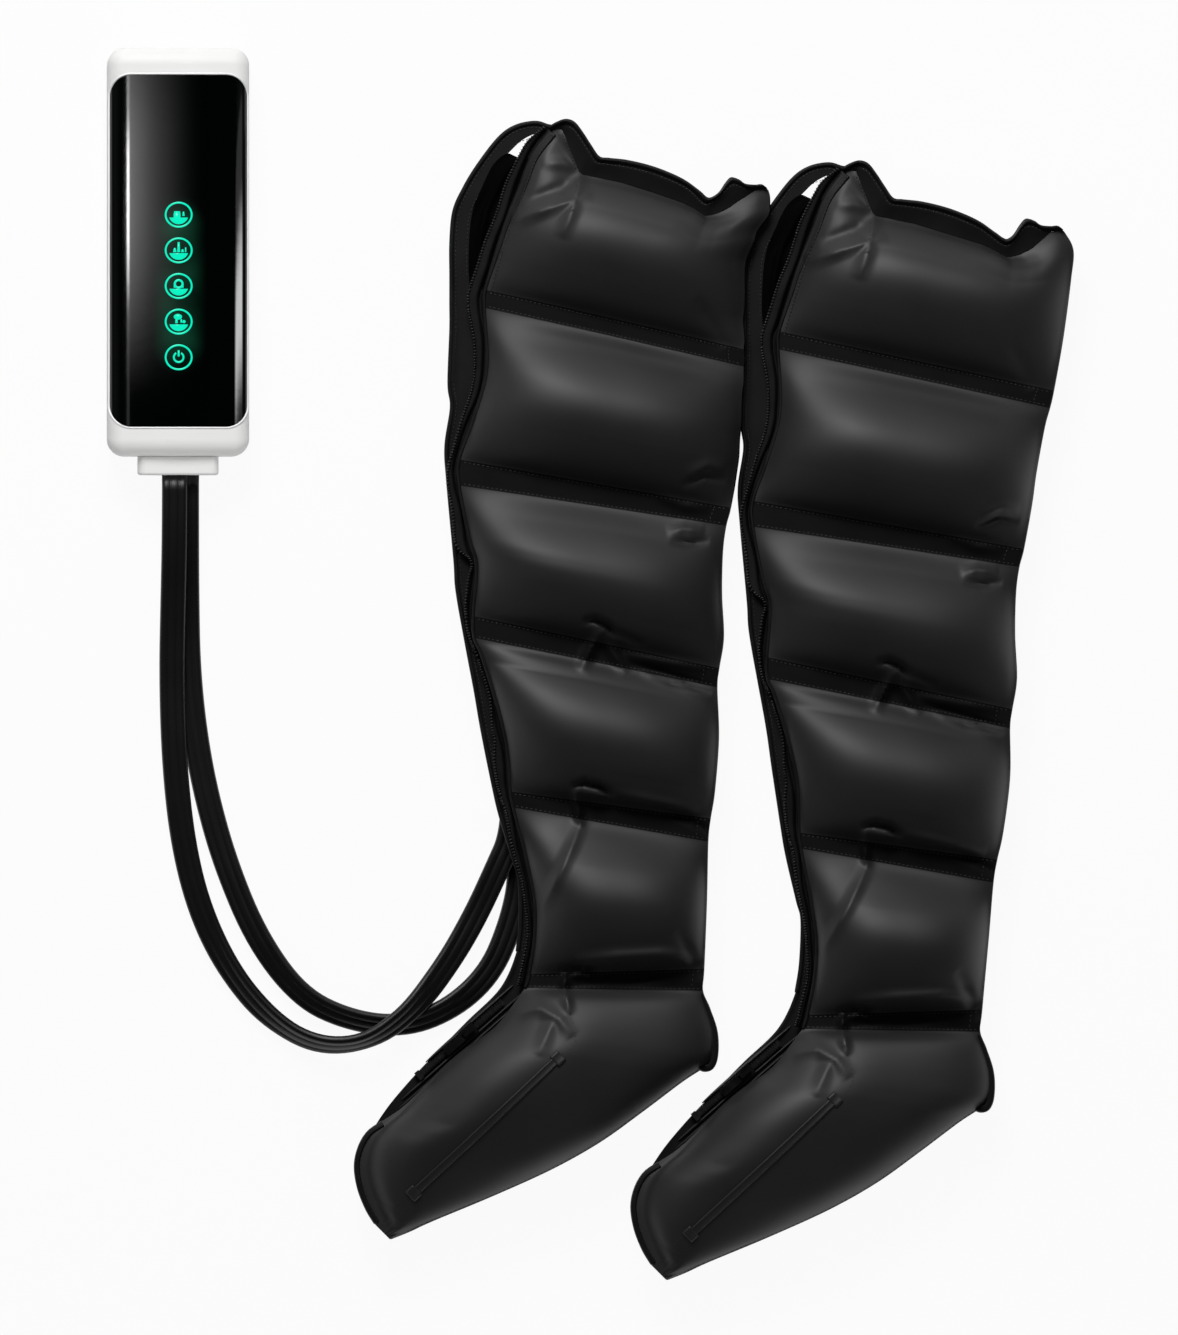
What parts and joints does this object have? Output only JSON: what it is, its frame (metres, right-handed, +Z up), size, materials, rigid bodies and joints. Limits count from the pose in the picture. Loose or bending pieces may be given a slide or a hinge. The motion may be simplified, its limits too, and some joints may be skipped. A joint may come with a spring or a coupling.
{
  "type": "air compression leg therapy set",
  "caption": "Hand-held air pump with a black touch panel, flat twin hoses on a push-in plug, and full-length inflatable leg sleeves with zips, laid flat.",
  "frame": {"origin": "on the table, under the middle of the whole layout", "axes": "+Z up from the table, +Y towards the mouths of the sleeves, +X from the pump towards the sleeves"},
  "size_m": [0.7231, 0.9163, 0.0824],
  "materials": {
    "housing_white": "satin white moulded ABS",
    "lens_black": "high-gloss black acrylic panel",
    "board_green": "solder-masked circuit board",
    "light_diffuser": "milky light guide",
    "inner_black": "plain black moulding",
    "inner_white": "plain moulding",
    "cell_wrap": "cell can in a shrink sleeve",
    "port_steel": "drawn steel shell",
    "motor_steel": "zinc-plated steel",
    "seal_rubber": "moulded rubber",
    "tube_silicone": "clear silicone tube",
    "hose_black": "smooth extruded flat hose",
    "sleeve_black": "coated nylon with a satin face",
    "zip_black": "woven tape and moulded coil",
    "slider_metal": "black lacquered die casting"
  },
  "bodies": {
    "sleeve_set": {"hose_plug": "housing_white", "outer_hose": "hose_black", "inner_hose": "hose_black", "left_upper_thigh": "sleeve_black", "left_lower_thigh": "sleeve_black", "left_knee": "sleeve_black", "left_calf": "sleeve_black", "left_ankle": "sleeve_black", "left_foot": "sleeve_black", "left_back_panel": "sleeve_black", "left_outer_fold": "sleeve_black", "left_collar": "sleeve_black", "left_zip_flap": "sleeve_black", "left_zip_tape": "zip_black", "left_zip_chain": "zip_black", "left_air_port": "inner_black", "right_upper_thigh": "sleeve_black", "right_lower_thigh": "sleeve_black", "right_knee": "sleeve_black", "right_calf": "sleeve_black", "right_ankle": "sleeve_black", "right_foot": "sleeve_black", "right_back_panel": "sleeve_black", "right_outer_fold": "sleeve_black", "right_collar": "sleeve_black", "right_zip_flap": "sleeve_black", "right_zip_tape": "zip_black", "right_zip_chain": "zip_black", "right_air_port": "inner_black"},
    "pump_unit": {"back_shell": "housing_white", "front_shell": "housing_white", "touch_lens": "lens_black", "touch_board": "board_green", "light_guides": "light_diffuser", "main_board": "board_green", "battery_holder": "inner_black", "battery_cells": "cell_wrap", "charge_board": "board_green", "charge_port": "port_steel", "pump_motor": "motor_steel", "pump_crankcase": "inner_white", "pump_diaphragm": "seal_rubber", "pump_valve_head": "inner_white", "valve_manifold": "inner_white", "solenoid_valves": "motor_steel", "air_tube": "tube_silicone", "channel_tubes": "tube_silicone", "hose_socket": "inner_black", "nozzle_seals": "seal_rubber", "housing_screws": "motor_steel", "rubber_feet": "seal_rubber"},
    "pump_rotor": {"pump_rotor": "motor_steel"},
    "left_slider": {"left_zip_slider": "slider_metal"},
    "left_pull": {"left_zip_pull": "slider_metal"},
    "right_slider": {"right_zip_slider": "slider_metal"},
    "right_pull": {"right_zip_pull": "slider_metal"}
  },
  "joints": [
    {"name": "handset_unplug", "type": "slide", "parent": "sleeve_set", "child": "pump_unit", "axis": [0, 1, 0], "range_m": [0, 0.022]},
    {"name": "pump_spin", "type": "hinge", "parent": "pump_unit", "child": "pump_rotor", "pos_m": [-0.3094, 0.24963, 0.019], "axis": [1, 0, 0], "continuous": true},
    {"name": "left_zip", "type": "slide", "parent": "sleeve_set", "child": "left_slider", "axis": [0.7502, 0.6612, 0], "range_m": [-0.038, 0.024]},
    {"name": "left_pull_hinge", "type": "hinge", "parent": "left_slider", "child": "left_pull", "pos_m": [-0.09234, -0.27508, 0.03315], "axis": [-0.6612, 0.7502, 0], "range_deg": [0, 150]},
    {"name": "right_zip", "type": "slide", "parent": "sleeve_set", "child": "right_slider", "axis": [0.753, 0.658, 0], "range_m": [-0.038, 0.024]},
    {"name": "right_pull_hinge", "type": "hinge", "parent": "right_slider", "child": "right_pull", "pos_m": [0.11481, -0.30599, 0.03315], "axis": [-0.658, 0.753, 0], "range_deg": [0, 150]}
  ]
}
